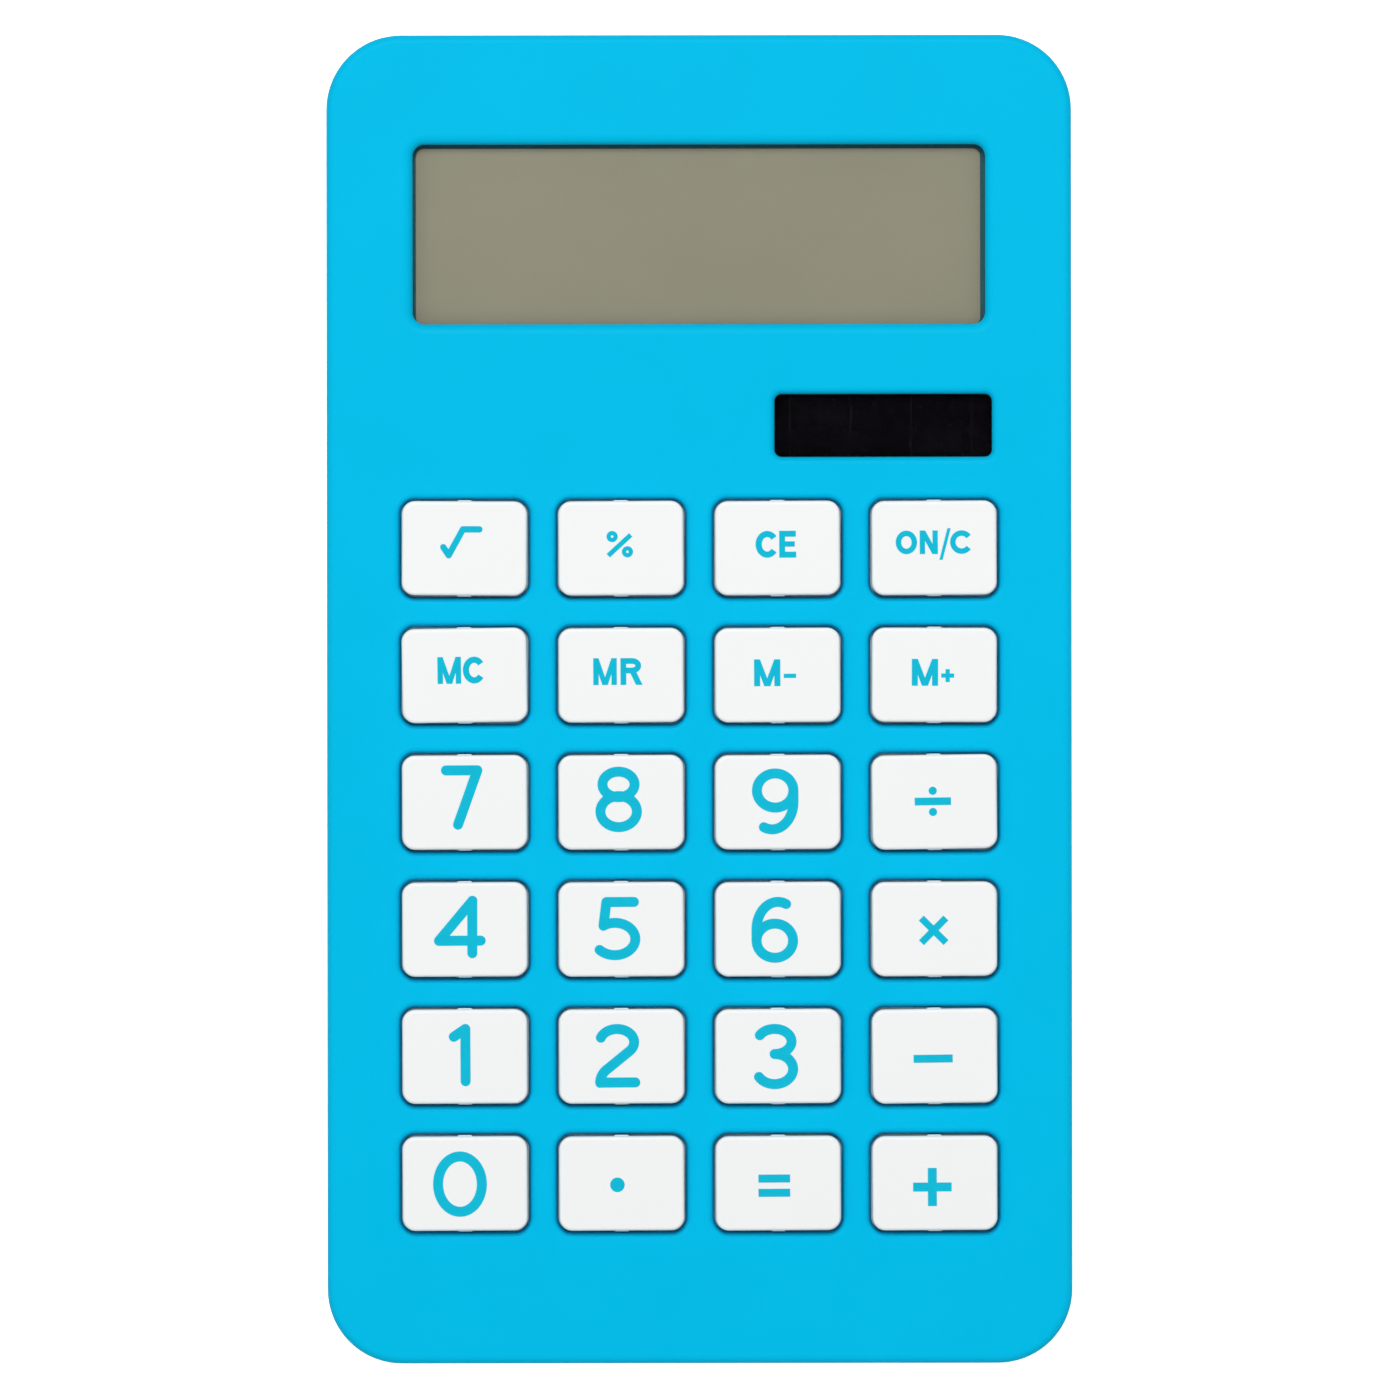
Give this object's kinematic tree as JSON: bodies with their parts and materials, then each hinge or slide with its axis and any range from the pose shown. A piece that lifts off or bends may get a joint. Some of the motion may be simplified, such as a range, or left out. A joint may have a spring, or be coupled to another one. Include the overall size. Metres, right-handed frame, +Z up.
{
  "type": "desk calculator",
  "caption": "Slim desk calculator in bright cyan plastic with rounded corners, a wide display window, a small solar window and white push keys with number and arithmetic legends.",
  "frame": {"origin": "centre of the underside, on the plane that the feet stand on", "axes": "+X to the calculator's right, +Y towards the display end, +Z up out of the keys"},
  "size_m": [0.082, 0.146, 0.0134],
  "materials": {
    "case_plastic": "satin",
    "key_plastic": "satin",
    "clear_window": "gloss",
    "display_glass": "satin",
    "reflector_film": "satin",
    "natural_plastic": "satin",
    "carbon_foil": "satin",
    "solar_glass": "gloss",
    "grey_foam": "matte",
    "red_insulation": "satin",
    "black_insulation": "satin",
    "silicone": "matte",
    "board_laminate": "satin",
    "epoxy": "satin",
    "capacitor_sleeve": "satin",
    "diode_glass": "gloss",
    "cell_steel": "satin",
    "nickel_spring": "satin",
    "screw_steel": "satin",
    "foot_rubber": "matte"
  },
  "bodies": {
    "case": {"front_case": "case_plastic", "rear_case": "case_plastic", "display_window": "clear_window", "solar_window": "clear_window", "lcd_panel": "display_glass", "lcd_reflector": "reflector_film", "lcd_bracket": "natural_plastic", "heat_seal_cable": "carbon_foil", "solar_cell": "solar_glass", "solar_pad": "grey_foam", "solar_wire_positive": "red_insulation", "solar_wire_negative": "black_insulation", "dome_sheet": "silicone", "circuit_board": "board_laminate", "chip_blob": "epoxy", "filter_capacitor": "capacitor_sleeve", "clamp_diode": "diode_glass", "button_cell": "cell_steel", "battery_contact_positive": "nickel_spring", "battery_contact_negative": "nickel_spring", "case_screw_1": "screw_steel", "board_screw_1": "screw_steel", "foot_1": "foot_rubber", "case_screw_2": "screw_steel", "board_screw_2": "screw_steel", "foot_2": "foot_rubber", "case_screw_3": "screw_steel", "board_screw_3": "screw_steel", "foot_3": "foot_rubber", "case_screw_4": "screw_steel", "board_screw_4": "screw_steel", "foot_4": "foot_rubber", "bracket_screw_1": "screw_steel", "bracket_screw_2": "screw_steel"},
    "key_sqrt": {"key_sqrt": "key_plastic"},
    "key_percent": {"key_percent": "key_plastic"},
    "key_ce": {"key_ce": "key_plastic"},
    "key_on_c": {"key_on_c": "key_plastic"},
    "key_mc": {"key_mc": "key_plastic"},
    "key_mr": {"key_mr": "key_plastic"},
    "key_m_minus": {"key_m_minus": "key_plastic"},
    "key_m_plus": {"key_m_plus": "key_plastic"},
    "key_7": {"key_7": "key_plastic"},
    "key_8": {"key_8": "key_plastic"},
    "key_9": {"key_9": "key_plastic"},
    "key_divide": {"key_divide": "key_plastic"},
    "key_4": {"key_4": "key_plastic"},
    "key_5": {"key_5": "key_plastic"},
    "key_6": {"key_6": "key_plastic"},
    "key_multiply": {"key_multiply": "key_plastic"},
    "key_1": {"key_1": "key_plastic"},
    "key_2": {"key_2": "key_plastic"},
    "key_3": {"key_3": "key_plastic"},
    "key_minus": {"key_minus": "key_plastic"},
    "key_0": {"key_0": "key_plastic"},
    "key_point": {"key_point": "key_plastic"},
    "key_equals": {"key_equals": "key_plastic"},
    "key_plus": {"key_plus": "key_plastic"},
    "battery_door": {"battery_door": "case_plastic"}
  },
  "joints": [
    {"name": "key_sqrt_press", "type": "slide", "parent": "case", "child": "key_sqrt", "axis": [0, 0, -1], "range_m": [0, 0.0011], "stiffness_N_per_m": 550, "springref_m": -0.0003, "deforming": ["dome_sheet"]},
    {"name": "key_percent_press", "type": "slide", "parent": "case", "child": "key_percent", "axis": [0, 0, -1], "range_m": [0, 0.0011], "stiffness_N_per_m": 550, "springref_m": -0.0003, "deforming": ["dome_sheet"]},
    {"name": "key_ce_press", "type": "slide", "parent": "case", "child": "key_ce", "axis": [0, 0, -1], "range_m": [0, 0.0011], "stiffness_N_per_m": 550, "springref_m": -0.0003, "deforming": ["dome_sheet"]},
    {"name": "key_on_c_press", "type": "slide", "parent": "case", "child": "key_on_c", "axis": [0, 0, -1], "range_m": [0, 0.0011], "stiffness_N_per_m": 550, "springref_m": -0.0003, "deforming": ["dome_sheet"]},
    {"name": "key_mc_press", "type": "slide", "parent": "case", "child": "key_mc", "axis": [0, 0, -1], "range_m": [0, 0.0011], "stiffness_N_per_m": 550, "springref_m": -0.0003, "deforming": ["dome_sheet"]},
    {"name": "key_mr_press", "type": "slide", "parent": "case", "child": "key_mr", "axis": [0, 0, -1], "range_m": [0, 0.0011], "stiffness_N_per_m": 550, "springref_m": -0.0003, "deforming": ["dome_sheet"]},
    {"name": "key_m_minus_press", "type": "slide", "parent": "case", "child": "key_m_minus", "axis": [0, 0, -1], "range_m": [0, 0.0011], "stiffness_N_per_m": 550, "springref_m": -0.0003, "deforming": ["dome_sheet"]},
    {"name": "key_m_plus_press", "type": "slide", "parent": "case", "child": "key_m_plus", "axis": [0, 0, -1], "range_m": [0, 0.0011], "stiffness_N_per_m": 550, "springref_m": -0.0003, "deforming": ["dome_sheet"]},
    {"name": "key_7_press", "type": "slide", "parent": "case", "child": "key_7", "axis": [0, 0, -1], "range_m": [0, 0.0011], "stiffness_N_per_m": 550, "springref_m": -0.0003, "deforming": ["dome_sheet"]},
    {"name": "key_8_press", "type": "slide", "parent": "case", "child": "key_8", "axis": [0, 0, -1], "range_m": [0, 0.0011], "stiffness_N_per_m": 550, "springref_m": -0.0003, "deforming": ["dome_sheet"]},
    {"name": "key_9_press", "type": "slide", "parent": "case", "child": "key_9", "axis": [0, 0, -1], "range_m": [0, 0.0011], "stiffness_N_per_m": 550, "springref_m": -0.0003, "deforming": ["dome_sheet"]},
    {"name": "key_divide_press", "type": "slide", "parent": "case", "child": "key_divide", "axis": [0, 0, -1], "range_m": [0, 0.0011], "stiffness_N_per_m": 550, "springref_m": -0.0003, "deforming": ["dome_sheet"]},
    {"name": "key_4_press", "type": "slide", "parent": "case", "child": "key_4", "axis": [0, 0, -1], "range_m": [0, 0.0011], "stiffness_N_per_m": 550, "springref_m": -0.0003, "deforming": ["dome_sheet"]},
    {"name": "key_5_press", "type": "slide", "parent": "case", "child": "key_5", "axis": [0, 0, -1], "range_m": [0, 0.0011], "stiffness_N_per_m": 550, "springref_m": -0.0003, "deforming": ["dome_sheet"]},
    {"name": "key_6_press", "type": "slide", "parent": "case", "child": "key_6", "axis": [0, 0, -1], "range_m": [0, 0.0011], "stiffness_N_per_m": 550, "springref_m": -0.0003, "deforming": ["dome_sheet"]},
    {"name": "key_multiply_press", "type": "slide", "parent": "case", "child": "key_multiply", "axis": [0, 0, -1], "range_m": [0, 0.0011], "stiffness_N_per_m": 550, "springref_m": -0.0003, "deforming": ["dome_sheet"]},
    {"name": "key_1_press", "type": "slide", "parent": "case", "child": "key_1", "axis": [0, 0, -1], "range_m": [0, 0.0011], "stiffness_N_per_m": 550, "springref_m": -0.0003, "deforming": ["dome_sheet"]},
    {"name": "key_2_press", "type": "slide", "parent": "case", "child": "key_2", "axis": [0, 0, -1], "range_m": [0, 0.0011], "stiffness_N_per_m": 550, "springref_m": -0.0003, "deforming": ["dome_sheet"]},
    {"name": "key_3_press", "type": "slide", "parent": "case", "child": "key_3", "axis": [0, 0, -1], "range_m": [0, 0.0011], "stiffness_N_per_m": 550, "springref_m": -0.0003, "deforming": ["dome_sheet"]},
    {"name": "key_minus_press", "type": "slide", "parent": "case", "child": "key_minus", "axis": [0, 0, -1], "range_m": [0, 0.0011], "stiffness_N_per_m": 550, "springref_m": -0.0003, "deforming": ["dome_sheet"]},
    {"name": "key_0_press", "type": "slide", "parent": "case", "child": "key_0", "axis": [0, 0, -1], "range_m": [0, 0.0011], "stiffness_N_per_m": 550, "springref_m": -0.0003, "deforming": ["dome_sheet"]},
    {"name": "key_point_press", "type": "slide", "parent": "case", "child": "key_point", "axis": [0, 0, -1], "range_m": [0, 0.0011], "stiffness_N_per_m": 550, "springref_m": -0.0003, "deforming": ["dome_sheet"]},
    {"name": "key_equals_press", "type": "slide", "parent": "case", "child": "key_equals", "axis": [0, 0, -1], "range_m": [0, 0.0011], "stiffness_N_per_m": 550, "springref_m": -0.0003, "deforming": ["dome_sheet"]},
    {"name": "key_plus_press", "type": "slide", "parent": "case", "child": "key_plus", "axis": [0, 0, -1], "range_m": [0, 0.0011], "stiffness_N_per_m": 550, "springref_m": -0.0003, "deforming": ["dome_sheet"]},
    {"name": "battery_door_turn", "type": "hinge", "parent": "case", "child": "battery_door", "pos_m": [-0.024, 0.0302, 0.0008], "axis": [0, 0, -1], "range_deg": [0, 45]}
  ]
}
